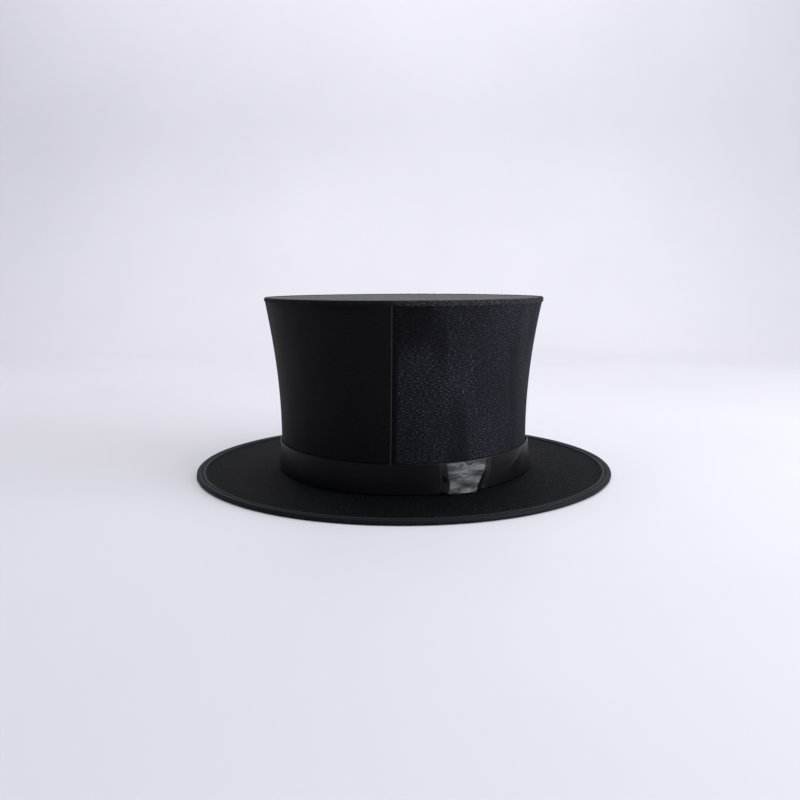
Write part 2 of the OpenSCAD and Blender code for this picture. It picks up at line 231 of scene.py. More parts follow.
class Nodes:
    """A short way to write a material's nodes."""

    def __init__(self, name):
        self.material = bpy.data.materials.new(name)
        self.material.use_nodes = True
        self.tree = self.material.node_tree
        self.tree.nodes.clear()
        self.output = self.add("ShaderNodeOutputMaterial")
        self.shader = self.add("ShaderNodeBsdfPrincipled")
        self.link(self.shader.outputs[0], self.output.inputs[0])

    def add(self, kind, **settings):
        node = self.tree.nodes.new(kind)
        for key, value in settings.items():
            setattr(node, key, value)
        return node

    def link(self, a, b):
        self.tree.links.new(a, b)

    def put(self, **values):
        """Sets the shader's own sockets."""
        names = {"rough": "Roughness", "metal": "Metallic", "specular": "Specular IOR Level", "tint": "Specular Tint"}
        for key, value in values.items():
            self.shader.inputs[names[key]].default_value = value

    def coords(self, kind):
        return self.add("ShaderNodeTexCoord").outputs[kind]

    def scaled(self, vector, scale, turn=(0, 0, 0)):
        node = self.add("ShaderNodeMapping")
        node.inputs["Scale"].default_value = scale
        node.inputs["Rotation"].default_value = turn
        self.link(vector, node.inputs["Vector"])
        return node.outputs[0]

    def noise(self, vector, scale, detail=3.0, rough=0.5):
        """Noise with scale lumps to the metre, along each axis or along all three."""
        vector = self.scaled(vector, scale if isinstance(scale, tuple) else (scale,) * 3)
        node = self.add("ShaderNodeTexNoise")
        node.inputs["Scale"].default_value = 1.0
        node.inputs["Detail"].default_value = detail
        node.inputs["Roughness"].default_value = rough
        self.link(vector, node.inputs["Vector"])
        return node.outputs[0]

    def bands(self, vector, period, axis, distortion):
        """Lines across axis, one every period."""
        node = self.add("ShaderNodeTexWave", wave_type="BANDS", bands_direction=axis)
        node.inputs["Scale"].default_value = math.pi / 10 / period
        node.inputs["Distortion"].default_value = distortion
        node.inputs["Detail"].default_value = 1.0
        node.inputs["Detail Scale"].default_value = 1.0
        self.link(vector, node.inputs["Vector"])
        return node.outputs[1]

    def ramp(self, value, stops):
        """Maps a value to a colour: stops are (place, colour)."""
        node = self.add("ShaderNodeValToRGB")
        ramp = node.color_ramp
        while len(ramp.elements) < len(stops):
            ramp.elements.new(0.5)
        for element, (place, colour) in zip(ramp.elements, stops):
            element.position = place
            element.color = (*colour, 1)
        self.link(value, node.inputs[0])
        return node.outputs[0]

    def between(self, value, low, high):
        """Maps 0 to 1 onto low to high."""
        node = self.add("ShaderNodeMapRange")
        node.inputs["To Min"].default_value = low
        node.inputs["To Max"].default_value = high
        self.link(value, node.inputs["Value"])
        return node.outputs[0]

    def smooth(self, value, low, high):
        """0 below low, 1 above high, and a smooth step between."""
        node = self.add("ShaderNodeMapRange", interpolation_type="SMOOTHSTEP")
        node.inputs["From Min"].default_value = low
        node.inputs["From Max"].default_value = high
        self.link(value, node.inputs["Value"])
        return node.outputs[0]

    def maths(self, operation, a, b):
        node = self.add("ShaderNodeMath", operation=operation)
        for socket, value in zip(node.inputs, (a, b)):
            if isinstance(value, (int, float)):
                socket.default_value = value
            else:
                self.link(value, socket)
        return node.outputs[0]

    def mixed(self, share, a, b):
        """Mixes two colours, each a socket or plain values."""
        node = self.add("ShaderNodeMix", data_type="RGBA")
        self.link(share, node.inputs[0])
        for socket, value in ((node.inputs[6], a), (node.inputs[7], b)):
            if isinstance(value, tuple):
                socket.default_value = (*value, 1)
            else:
                self.link(value, socket)
        return node.outputs[2]

    def weigh(self, a, b, share):
        """share of a and the rest of b."""
        return self.maths("ADD", self.maths("MULTIPLY", a, share), self.maths("MULTIPLY", b, 1 - share))

    def bump(self, height, distance, strength, under=None):
        node = self.add("ShaderNodeBump")
        node.inputs["Distance"].default_value = distance
        node.inputs["Strength"].default_value = strength
        self.link(height, node.inputs["Height"])
        if under is not None:
            self.link(under, node.inputs["Normal"])
        return node.outputs[0]

    def colour(self, socket):
        self.link(socket, self.shader.inputs["Base Color"])

    def roughness(self, socket):
        self.link(socket, self.shader.inputs["Roughness"])

    def normal(self, socket):
        self.link(socket, self.shader.inputs["Normal"])


# Painted shade on the right crown panel: its cloth is darkened near the top beside the back seam, and in a narrow
# strip along that seam.
PAINTED_SHADE_TOP, PAINTED_SHADE_FROM = (34 * MM, 18 * MM), (70 * MM, 96 * MM)  # along the cloth and up it, where it fades in
PAINTED_SHADE_SEAM = (5 * MM, 3 * MM)  # the strip beside the back seam darkened as painted shade


def ribbed_cloth(name, dark, light, rib, rough, specular, kind="UV", axis="Y", dash=(4 * MM, 0.8 * MM), glint=0.3,
                 tint=(1, 1, 1), painted_glint_gain=1.0, wear_and_painted_shade=0.0, ridge=None):
    """Faille: fine cross ribs across axis, that break the light up into short bright dashes; the brightest are also
    painted into its colour as glints.
    rib is the ribs' pitch, rough the roughness from its least to its most, and dash a dash's length and width.
    glint is the depth of the dashes, and painted_glint_gain how much brighter than light the painted glints are.
    wear_and_painted_shade is how much darker random worn patches of nap are, and the painted shade near the top beside
    the back seam and along it. ridge is a strip with a painted highlight: start, end, colour."""
    n = Nodes(name)
    where = n.coords(kind)
    place = n.add("ShaderNodeSeparateXYZ")
    n.link(where, place.inputs[0])
    along, across = place.outputs[0], place.outputs[1]
    long_way, short_way = 1 / dash[0], 1 / dash[1]
    scale = (long_way, short_way, short_way) if axis == "Y" else (short_way, long_way, short_way)
    dashes = n.noise(where, scale, detail=1.5, rough=0.6)
    grain = n.noise(where, 1300, detail=1.0)
    cloud = n.noise(where, (22, 14, 22), detail=4.0)
    ribs = n.bands(where, rib, axis=axis, distortion=0.8)
    mixed = n.weigh(dashes, cloud, 0.80)
    if wear_and_painted_shade:
        worn = n.noise(where, (34, 9, 34), detail=1.5)
        mixed = n.maths("SUBTRACT", mixed, n.between(n.smooth(worn, 0.52, 0.66), 0.0, wear_and_painted_shade))
        # Painted shade: the cloth is darker near the top beside the seam and in a strip along the seam.
        by_top = n.maths("MULTIPLY", n.smooth(along, *PAINTED_SHADE_TOP), n.smooth(across, *PAINTED_SHADE_FROM))
        shade_mask = n.maths("MAXIMUM", by_top, n.smooth(along, *PAINTED_SHADE_SEAM))
        mixed = n.maths("SUBTRACT", mixed, n.between(shade_mask, 0.0, 1.6 * wear_and_painted_shade))
    half = tuple((a + b) / 2 for a, b in zip(dark, light))
    # The brightest stop is painted glints: dashes coloured much lighter than the cloth, standing for light caught on
    # the ribs.
    cloth = n.ramp(mixed, [(0.38, dark), (0.55, half), (0.60, light), (0.72, tuple(painted_glint_gain * c for c in light))])
    # A painted highlight along the ridge, patchy with the cloud.
    if ridge:
        start, end, highlight_colour = ridge
        soft = 0.25 * (end - start)
        on = n.maths("MULTIPLY", n.smooth(across, start, start + soft), n.smooth(across, end, end - soft))
        cloth = n.mixed(n.maths("MULTIPLY", on, n.between(cloud, 0.4, 1.0)), cloth, highlight_colour)
    n.colour(cloth)
    n.roughness(n.between(n.weigh(grain, cloud, 0.45), *rough))
    n.put(specular=specular, tint=(*tint, 1))
    lumps = n.bump(cloud, 0.0005, 0.4)
    lumps = n.bump(dashes, 0.001 * glint, 0.9, under=lumps)
    lumps = n.bump(grain, 0.0004 * glint, 0.8, under=lumps)
    n.normal(n.bump(ribs, 0.0004 * glint, 0.8, under=lumps))
    return n.material


def satin(name, dark, light, rib=0.45 * MM, specular=0.5, rough=(0.22, 0.36), streak=(420, 1300, 420)):
    """Satin ribbon: smooth and bright, with very fine cross ribs."""
    n = Nodes(name)
    where = n.coords("UV")
    streaks = n.noise(where, streak, detail=2.0, rough=0.6)
    cloud = n.noise(where, 40, detail=3.0)
    ribs = n.bands(where, rib, axis="X", distortion=0.3)
    n.colour(n.ramp(streaks, [(0.35, dark), (0.65, light)]))
    n.roughness(n.between(cloud, *rough))
    n.put(specular=specular)
    low = n.bump(cloud, 0.0003, 0.15)
    low = n.bump(ribs, 0.00002, 0.4, under=low)
    n.normal(n.bump(streaks, 0.00009, 0.7, under=low))
    return n.material


def napped(name, smooth, dark, light, start, end):
    """Cloth that is smooth up to start and has a short coarse nap from end on, both measured along X."""
    n = Nodes(name)
    where = n.coords("Object")
    nap = n.noise(where, 1100, detail=2.5, rough=0.7)
    patches = n.noise(where, 160, detail=3.0)
    place = n.add("ShaderNodeSeparateXYZ")
    n.link(where, place.inputs[0])
    share = n.smooth(place.outputs[0], start, end)
    hairy = n.ramp(nap, [(0.47, dark), (0.62, light)])
    n.colour(n.mixed(share, smooth, hairy))
    n.roughness(n.between(patches, 0.75, 0.95))
    n.put(specular=0.2)
    height = n.maths("MULTIPLY", nap, n.between(share, 0.15, 1.0))
    n.normal(n.bump(height, 0.0005, 0.9, under=n.bump(patches, 0.0005, 0.4)))
    return n.material


def thread(name, dark, light):
    """Two-ply sewing thread."""
    n = Nodes(name)
    where = n.coords("Object")
    twist = n.bands(n.scaled(where, (1, 1, 1), (0.5, 0.4, 0.8)), 0.3 * MM, axis="X", distortion=1.0)
    n.colour(n.ramp(twist, [(0.2, dark), (0.8, light)]))
    n.roughness(n.between(twist, 0.45, 0.70))
    n.put(specular=0.3)
    n.normal(n.bump(twist, 0.0001, 0.7))
    return n.material


def hide(name, dark, light):
    """Thin grained leather."""
    n = Nodes(name)
    where = n.coords("Object")
    cells = n.add("ShaderNodeTexVoronoi", feature="DISTANCE_TO_EDGE")
    cells.inputs["Scale"].default_value = 900
    n.link(where, cells.inputs["Vector"])
    cloud = n.noise(where, 60, detail=4.0)
    n.colour(n.ramp(cloud, [(0.3, dark), (0.7, light)]))
    n.roughness(n.between(cloud, 0.42, 0.62))
    n.put(specular=0.4)
    n.normal(n.bump(cells.outputs[0], 0.00015, 0.8, under=n.bump(cloud, 0.0004, 0.3)))
    return n.material


def steel(name, dark, light, rough=(0.28, 0.45)):
    """Rolled spring steel, with fine scratches along it and a few dull spots."""
    n = Nodes(name)
    where = n.coords("Object")
    scratches = n.noise(where, (2200, 2200, 60), detail=2.0)
    spots = n.noise(where, 120, detail=4.0)
    n.colour(n.ramp(spots, [(0.35, dark), (0.6, light)]))
    n.roughness(n.between(n.weigh(scratches, spots, 0.5), *rough))
    n.put(metal=1.0)
    n.normal(n.bump(scratches, 0.00003, 0.6))
    return n.material


def board(name):
    """Shellac-stiffened cloth board: an open weave under a dull varnish."""
    n = Nodes(name)
    where = n.coords("Object")
    across = n.bands(where, 1.1 * MM, axis="X", distortion=0.5)
    along = n.bands(where, 1.1 * MM, axis="Y", distortion=0.5)
    weave = n.maths("MULTIPLY", across, along)
    stain = n.noise(where, 40, detail=4.0)
    n.colour(n.ramp(stain, [(0.3, (0.035, 0.03, 0.026)), (0.7, (0.075, 0.066, 0.055))]))
    n.roughness(n.between(stain, 0.5, 0.75))
    n.normal(n.bump(weave, 0.0002, 0.8))
    return n.material


EDGE_LAP = 7.4 * MM  # how far the brim's edge strip laps onto the brim
STITCH_IN = (4.3 * MM, 6.7 * MM)  # the two sewn grooves in it, measured in from the rim
# Painted highlight: the raised strip between the two sewn grooves is coloured lighter, in patches, standing for the
# light it catches.
RIDGE_HIGHLIGHT = (EDGE_LAP - STITCH_IN[1] + 0.3 * MM, EDGE_LAP - STITCH_IN[0] - 0.1 * MM, (0.040, 0.042, 0.050))

BLACK = (0.0012, 0.0012, 0.0015)
CROWN_LEFT = ribbed_cloth(
    "crown_faille_left", BLACK, (0.0036, 0.0034, 0.0043), 0.9 * MM, (0.55, 0.72), 0.11, glint=0.12,
)
# The right panel's cloth is a lit copy of the left panel's: its lighter colour and bright dashes are painted sheen and
# painted glints where the window light falls on it.
CROWN_RIGHT_PAINTED_SHEEN = ribbed_cloth(
    "crown_faille_right_painted_sheen", (0.0035, 0.0035, 0.0050), (0.025, 0.0255, 0.032), 0.9 * MM, (0.62, 0.80), 0.07,
    dash=(2.0 * MM, 0.7 * MM), glint=0.65, tint=(0.84, 0.87, 1.0), painted_glint_gain=3.6, wear_and_painted_shade=0.09,
)
# Painted glints: the brim's brightest dashes are coloured far lighter than its cloth.
BRIM_CLOTH = ribbed_cloth(
    "brim_faille", (0.0005, 0.0005, 0.0006), (0.0028, 0.0029, 0.0034), 1.0 * MM, (0.66, 0.80), 0.09,
    kind="Object", axis="X", dash=(5 * MM, 1.3 * MM), glint=2.4, painted_glint_gain=8.0, tint=(0.80, 0.90, 1.0),
)
# Painted glints: the crown top's brightest dashes are coloured lighter than its cloth.
TIP_CLOTH = ribbed_cloth(
    "tip_faille", BLACK, (0.005, 0.005, 0.0058), 1.0 * MM, (0.45, 0.58), 0.42,
    kind="Object", dash=(6 * MM, 1.4 * MM), painted_glint_gain=2.5,
)
RIBBON = satin(
    "ribbon_satin", (0.0004, 0.0004, 0.0006), (0.0016, 0.0016, 0.0021), specular=0.16, rough=(0.29, 0.43),
)
# The lapped end's satin is a lighter copy of the band's: its lighter colour is painted highlight on the bright patch.
RIBBON_END_PAINTED_HIGHLIGHT = satin(
    "ribbon_satin_painted_highlight", (0.0005, 0.0005, 0.0007), (0.0024, 0.0024, 0.0032), specular=0.34,
    rough=(0.26, 0.40), streak=(650, 1700, 650),
)
LINING = satin("lining_satin", (0.0035, 0.0035, 0.005), (0.008, 0.008, 0.011), rib=0.3 * MM, rough=(0.3, 0.45))
EDGE_CLOTH = ribbed_cloth(
    "edge_faille", (0.0012, 0.0013, 0.0016), (0.0050, 0.0054, 0.0066), 0.6 * MM, (0.56, 0.72), 0.17, axis="X",
    glint=0.16, tint=(0.82, 0.90, 1.0), ridge=RIDGE_HIGHLIGHT,
)
SEAM_CLOTH = ribbed_cloth(
    "seam_faille", (0.003, 0.003, 0.0032), (0.008, 0.0075, 0.008), 0.5 * MM, (0.45, 0.55), 0.3, axis="X", glint=0.1,
)
WELT_CLOTH = napped(
    "welt_nap", (0.003, 0.003, 0.0034), (0.004, 0.0038, 0.0038), (0.052, 0.046, 0.045), -12 * MM, 2 * MM,
)
THREAD = thread("black_thread", (0.004, 0.004, 0.005), (0.015, 0.015, 0.016))
LEATHER = hide("sweatband_leather", (0.055, 0.032, 0.020), (0.115, 0.068, 0.042))
SPRING_STEEL = steel("spring_steel", (0.30, 0.31, 0.32), (0.48, 0.49, 0.50))
RIVET_STEEL = steel("rivet_steel", (0.45, 0.46, 0.47), (0.62, 0.63, 0.64), rough=(0.2, 0.35))
BOARD = board("stiff_board")


def dress(obj, material, slot, body, *nodes):
    """Gives a piece its material and its body, and hides the CAD nodes that it stands for. slot is not used."""
    obj.data.materials.clear()
    obj.data.materials.append(material)
    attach(obj, body)
    if nodes:
        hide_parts(*nodes)
    return obj


# ---------------------------------------------------------------- brim

def rounded(points, count):
    """Rounds the corners of a closed outline, so that it needs few points."""
    points = [Vector(p) for p in points]
    out = []
    for i, p in enumerate(points):
        a, b = points[i - 1], points[(i + 1) % len(points)]
        for k in range(count):
            t = (k + 0.5) / count
            start, end = p.lerp(a, 0.5 * (1 - t)), p.lerp(b, 0.5 * t)
            out.append(tuple(start.lerp(end, t)))
    return out


def flat_ring(name, inner, outer, z0, z1, rise=0.0, seed=0.0):
    """A flat oval ring of cloth, whose top rises and falls a little between its edges."""
    rows = 26
    outs = np.linspace(inner, outer, rows)
    section = [(o, z1) for o in outs] + [(o, z0) for o in outs[::-1]]
    turns = full_turn(420)

    def shape(s, k, out, z):
        if not rise:
            return out, z
        share = (out - inner) / (outer - inner)
        fade = np.sin(np.clip(share, 0, 1) * math.pi)
        lift = round_wobble(turns[:, None], out, 0.045, seed)
        return out, np.where(k < rows, z + rise * fade * lift, z)

    return sweep(name, turns, section, shape)


def make_brim():
    """The brim's upper and lower cloth, and its edge."""
    low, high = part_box("brim_top_cover")
    inner = SWEAT_OUT + 0.1 * MM
    outer = high.x - WAIST_X
    top = flat_ring("brim_top_cloth", inner, outer, low.z, high.z, rise=0.12 * MM, seed=3.0)
    dress(top, BRIM_CLOTH, "crown_cloth", "hat_base", "brim_top_cover")
    low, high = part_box("brim_under_cover")
    under = flat_ring("brim_under_cloth", inner, outer, low.z, high.z)
    dress(under, BRIM_CLOTH, "crown_cloth", "hat_base", "brim_under_cover")
    make_brim_edge(outer)


def make_brim_edge(cloth_out):
    """The strip rolled over the wired edge, with two sewn grooves in it."""
    edge, top = BRIM_OUT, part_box("brim_edge_binding")[1].z
    under_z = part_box("brim_under_cover")[0].z
    lap = edge - EDGE_LAP
    half, round_r = top / 2, 1.5 * MM
    roll = []
    for k in range(13):
        a = math.radians(90 - 15 * k)
        roll.append((edge - round_r + round_r * math.cos(a), half + half * math.sin(a)))
    upper = []
    steps = 52
    flat_z = (top + BRIM_TOP) / 2
    near, far = STITCH_IN
    for k in range(steps):
        out = lap + (edge - round_r - lap) * k / steps
        into = edge - out
        shoulder = np.clip((near - into) / (near - round_r), 0, 1)
        z = flat_z + (top - flat_z) * math.sin(shoulder * math.pi / 2)
        ridge = (into - (near + far) / 2) / ((far - near) / 2)
        z += 0.30 * MM * max(0.0, 1 - ridge**2)
        for groove in STITCH_IN:
            z -= 0.50 * MM * math.exp(-(((into - groove) / (0.42 * MM)) ** 2))
        upper.append((out, z))
    lower = [(lap + 0.4 * MM, 0.0), (lap, 0.15 * MM), (lap, under_z)]
    inside = [(cloth_out, under_z), (cloth_out, BRIM_TOP), (lap, BRIM_TOP)]
    section = upper + roll + lower + inside
    turns = full_turn(760)

    def shape(s, k, out, z):
        ripple = round_wobble(turns[:, None], 0 * out, 0.009, 8.0) * 0.16 * MM
        slow = round_wobble(turns[:, None], 0 * out, 0.05, 2.0) * 0.15 * MM
        on_roll = (k >= len(upper)) & (k < len(upper) + len(roll) - 3)
        return out + np.where(on_roll, 0.6 * (ripple + slow), 0), z + np.where(k < len(upper), 0.6 * ripple, 0)

    edge_piece = sweep("brim_edge_roll", turns, section, shape)
    dress(edge_piece, EDGE_CLOTH, "edge_cloth", "hat_base", "brim_edge_binding")
    groove_z = flat_z - 0.36 * MM
    for number, groove in enumerate(STITCH_IN):
        turns, pitch = turns_by_length(edge - groove, 3.1 * MM)
        ring = stitches(f"brim_stitches_{number}", edge - groove, groove_z, turns, 2.2 * MM / pitch, 0.2 * MM)
        dress(ring, THREAD, "edge_cloth", "hat_base")


def capsule(start, end, radius, lift):
    """A short bowed stitch: verts and faces of a round-ended thread from start to end."""
    start, end = Vector(start), Vector(end)
    way = (end - start).normalized()
    side = way.cross(Vector(lift)).normalized()
    up = side.cross(way)
    rings, sides = 5, 6
    verts, faces = [], []
    for i in range(rings):
        t = i / (rings - 1)
        bow = math.sin(t * math.pi)
        r = radius * (0.35 + 0.65 * bow)
        centre = start.lerp(end, t) + up * radius * 0.8 * bow
        for j in range(sides):
            a = 2 * math.pi * j / sides
            verts.append(centre + (side * math.cos(a) + up * math.sin(a)) * r)
    for i in range(rings - 1):
        for j in range(sides):
            j1 = (j + 1) % sides
            faces.append((i * sides + j, i * sides + j1, (i + 1) * sides + j1, (i + 1) * sides + j))
    faces.append(tuple(range(sides - 1, -1, -1)))
    faces.append(tuple((rings - 1) * sides + j for j in range(sides)))
    return verts, faces


def turns_by_length(out, step):
    """Turns spaced evenly along the oval that lies out outside the waist, about step apart, and the real distance."""
    fine = BACK + np.linspace(0, 2 * math.pi, 4001)
    x, y = oval(fine, out)
    length = np.concatenate([[0], np.cumsum(np.hypot(np.diff(x), np.diff(y)))])
    count = int(length[-1] / step)
    return np.interp(np.arange(count) * length[-1] / count, length, fine), length[-1] / count


def stitches(name, out, z, turns, share, radius, inward=False):
    """Running stitches round the oval, as one object: each starts at a turn and goes share of the way to the next."""
    verts, faces = [], []
    for turn, after in zip(turns, whole_turn(turns)[1:]):
        start, end = ((*map(float, oval(t, out)), z) for t in (turn, turn + (after - turn) * share))
        lift = (-math.cos(turn), -math.sin(turn), 0) if inward else (0, 0, 1)
        stitch_verts, stitch_faces = capsule(start, end, radius, lift)
        faces += [tuple(k + len(verts) for k in face) for face in stitch_faces]
        verts += stitch_verts
    mesh = bpy.data.meshes.new(name)
    mesh.from_pydata(verts, [], faces)
    mesh.polygons.foreach_set("use_smooth", [True] * len(mesh.polygons))
    return link(name, mesh)


# ---------------------------------------------------------------- collar and ribbon band

def hump(away, width):
    """A smooth hump with long tails, 1 where away is 0."""
    return np.exp(-((away / width) ** 2))


def bulge(s, mid, half):
    """A smooth hump, 1 at mid and 0 further than half from it."""
    t = np.clip((s - mid) / half, -1, 1)
    return (1 - t * t) ** 2


def turn_at_back(x):
    """The turn at which the waist, on its back end, has that x."""
    return BACK + math.asin(x / END_R)


LAP = [END_R * math.asin(side.x / END_R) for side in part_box("band_join")]  # the lapped end, along the waist
LAP_MID, LAP_HALF = sum(LAP) / 2, (LAP[1] - LAP[0]) / 2


def make_band():
    """The ribbon band: close at its top edge, a little loose below, and standing off the crown at the right.
    The collar's cloth is under it."""
    band_in = 0.05 * MM
    z0, z1 = BRIM_TOP + 0.1 * MM, COLLAR_TOP
    rows = 26
    heights = np.linspace(z0, z1, rows)
    section = [(BAND_OUT, z) for z in heights] + [(band_in, z) for z in heights[::-1]]
    turns = full_turn(900)

    def shape(s, k, out, z):
        t = turns[:, None]
        share = (z - z0) / (z1 - z0)
        slow = round_wobble(t, z, 0.030, 5.0)
        fine = round_wobble(t, z * 2.5, 0.009, 9.0)
        away = 0.3 * MM + 0.8 * MM * (1 - share) ** 2 + 0.2 * MM * slow + 0.02 * MM * fine
        fold_z = z0 + 7 * MM + (s - 84 * MM) * 0.4
        away += bulge(s, 104 * MM, 20 * MM) * 0.22 * MM * hump(z - fold_z, 2.4 * MM)
        away += bulge(s, 142 * MM, 50 * MM) * 1.3 * MM * (1 - share)
        away += 0.9 * MM * hump(s - 147 * MM, 5 * MM)
        lapped = 1 / (1 + np.exp((np.abs(s - LAP_MID) - LAP_HALF) / (1.2 * MM)))
        away = np.clip(away, 0, None) * (1 - lapped)
        near_back = np.clip(np.cos(t - BACK), 0, 1) ** 2
        uneven = np.clip(round_wobble(t, 0 * z, 0.05, 1.0), -1, 1)
        sag = share * (0.7 * MM * near_back + 0.25 * MM * uneven)
        rim = 0.10 * MM * hump(z1 - z, 0.3 * MM)
        return out + away + np.where(k < rows, rim, 0), z - np.clip(sag, 0, None)

    band = sweep("ribbon_band", turns, section, shape)
    dress(band, RIBBON, "ribbon", "hat_base", "hat_band")
    low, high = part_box("collar_cover")
    z0, z1, thick = low.z, high.z + 0.3 * MM, 0.5 * MM
    outline = rounded([(0.0, z0), (0.0, z1), (-thick, z1), (-thick, z0)], 3)
    collar = sweep("collar_cloth", full_turn(360), outline)
    dress(collar, CROWN_LEFT, "crown_cloth", "hat_base", "collar_cover")


def make_gather():
    """The ribbon's loose end, lapped over the band: it leans outward to its foot, and a fold runs up its right."""
    low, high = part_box("band_join")
    turns = np.linspace(turn_at_back(low.x), turn_at_back(high.x), 150)
    z0, z1 = BRIM_TOP + 0.2 * MM, COLLAR_TOP - 0.9 * MM
    rows, height = 60, z1 - z0
    heights = np.linspace(z0, z1, rows)
    base = BAND_OUT + 0.1 * MM
    thick = 0.25 * MM
    section = [(base + thick, z) for z in heights] + [(base, z) for z in heights[::-1]]
    lean = 4.4 * MM
    foot, slope = 0.12, 0.80  # the fold's place at its foot, and how far it goes right to the top, of half the width

    def shape(s, k, out, z):
        share = (z - z0) / height
        u = s / s[-1, 0] * 2 - 1
        jag = wobble(0 * s, z, (1.0, 0.0060), 12.0)
        fold_share = np.clip((u - foot - 0.11 * jag) / slope, 0, 1.2)
        on_fold = lean * (1 - fold_share)
        left = lean * (1 - share)
        right = np.clip(on_fold - 0.24 * height * (fold_share - share), 0, None)
        away = np.where(share >= fold_share, left, right)
        inset = np.clip(0.05 * (1 + wobble(0 * s, z, (1.0, 0.0075), 15.0)), 0, None)
        close = np.clip((u + 1 - inset) / 0.20, 0, 1) * np.clip((1 - u) / 0.35, 0, 1)
        close = close * close * (3 - 2 * close)
        crumple = wobble(s, z, (0.012, 0.0060), 4.0) * 0.30 * MM
        small = wobble(s, z, (0.0035, 0.0016), 7.0) * 0.045 * MM
        pleat = 0.8 * MM * hump(u + 0.12, 0.09) * np.clip(share, 0, 1) ** 9
        away = close * np.clip(away + crumple + small - pleat, -0.5 * MM, None)
        ragged = 0.35 * MM * wobble(s, 0 * s, (0.007, 1.0), 2.0) * (share - 0.5)
        return out + away, z + ragged + 0.7 * MM * share * np.clip(u - 0.5, 0, 1)

    gather = sweep("ribbon_gather", turns, section, shape, closed=False)
    dress(gather, RIBBON_END_PAINTED_HIGHLIGHT, "ribbon", "hat_base", "band_join")


# ---------------------------------------------------------------- crown

SEAM_TURN = math.radians(5.7)  # the back seam's place on its end arc, to the left of the middle
SEAM_LEAN = math.radians(1.6)  # how much nearer the middle the seam is at its top than at its foot
CREASE_X = -35 * MM  # the middle of the crease under the crown's edge


def seam_lean(turn, z):
    """How far the back seam and the cloth beside it lean towards the middle of the back at height z."""
    share = np.clip((z - COLLAR_TOP) / (COVER_TOP - COLLAR_TOP), 0, 1)
    off = np.angle(np.exp(1j * (turn - BACK + SEAM_TURN)))
    return SEAM_LEAN * (share - 0.5) * hump(off, 0.25)


def make_side_covers():
    """Two panels of taut cloth from the collar to the crown's edge, and the welts over their seams."""
    thick = 0.5 * MM
    top = COVER_TOP + 0.5 * MM
    lower = np.linspace(COLLAR_TOP - 1.6 * MM, top - 8 * MM, 48)
    heights = np.concatenate([lower, np.linspace(top - 7.8 * MM, top, 34)])
    back, front = BACK - SEAM_TURN, -BACK - SEAM_TURN
    spans = {"right": (back, front), "left": (front, back + 2 * math.pi)}
    for side, (a, b) in spans.items():
        turns = np.linspace(a, b, 330)
        section = [(0.0, z) for z in heights] + [(-thick, z) for z in heights[::-1]]

        def shape(s, k, out, z, turns=turns):
            t = turns[:, None]
            share = np.clip((z - COLLAR_TOP) / (COVER_TOP - COLLAR_TOP), 0, 1)
            hold = np.sin(share * math.pi) ** 0.6
            slow = round_wobble(t, z * 0.6, 0.055, 1.0) * 0.4 * MM * hold
            pull = round_wobble(t, z * 0.15, 0.016, 6.0) * 0.13 * MM * (1 - 0.6 * share) * np.clip(share * 8, 0, 1)
            top_fold = 0.2 * MM * hump(COVER_TOP - z, 3.2 * MM) * round_wobble(t, 0 * z, 0.012, 3.0)
            from_mid = oval(t)[0] - CREASE_X
            creased = 1 / (1 + np.exp((np.abs(from_mid) - 16 * MM) / (2 * MM))) * (np.sin(t) < 0)
            above = z - (top - 2.6 * MM - 0.01 * from_mid)
            crease = creased * (0.35 * MM * hump(above - 0.7 * MM, 0.7 * MM) - 0.45 * MM * hump(above, 0.35 * MM))
            tuck = -0.35 * MM * hump(np.minimum(s, s[-1, 0] - s), 1.1 * MM)
            return out + flare(z) + slow + pull + top_fold + crease + tuck - 0.1 * MM, z

        panel = sweep(f"crown_panel_{side}", turns, section, shape, closed=False, lean=seam_lean)
        material = CROWN_RIGHT_PAINTED_SHEEN if side == "right" else CROWN_LEFT
        dress(panel, material, "crown_cloth", "hat_base", f"side_cover_{side}")
        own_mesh(panel)
    for side, turn in (("back", back), ("front", front)):
        welt = seam_welt(f"seam_welt_{side}", turn)
        dress(welt, SEAM_CLOTH, "crown_cloth", "hat_base", f"{side}_seam")
        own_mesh(welt)


def seam_welt(name, turn):
    """A narrow rolled welt up the seam, from the band to the crown's edge."""
    half, height = 0.55 * MM, 0.40 * MM
    rows, sides = 70, 9
    heights = np.linspace(COLLAR_TOP - 1.0 * MM, COVER_TOP + 0.3 * MM, rows)
    points = np.zeros((rows, sides, 3))
    uvs = np.zeros((rows, sides + 1, 2))
    for i, z in enumerate(heights):
        wander = 0.12 * MM * noise.noise(Vector((z / 0.02, 3.3, 0)))
        for j in range(sides):
            a = 2 * math.pi * j / sides
            along, out = half * math.cos(a) + wander, height * math.sin(a) + 0.05 * MM
            x, y = oval(turn + seam_lean(turn, z), float(flare(z)) + out - 0.1 * MM)
            tangent = Vector((-math.sin(turn), math.cos(turn), 0))
            points[i, j] = (float(x) + tangent.x * along, float(y) + tangent.y * along, z)
        uvs[i, :, 0] = z
        uvs[i, :, 1] = np.arange(sides + 1) * 2 * math.pi * half / sides
    obj = grid_object(name, points, uvs, close_v=True)
    cap_ends(obj, rows, sides)
    return obj


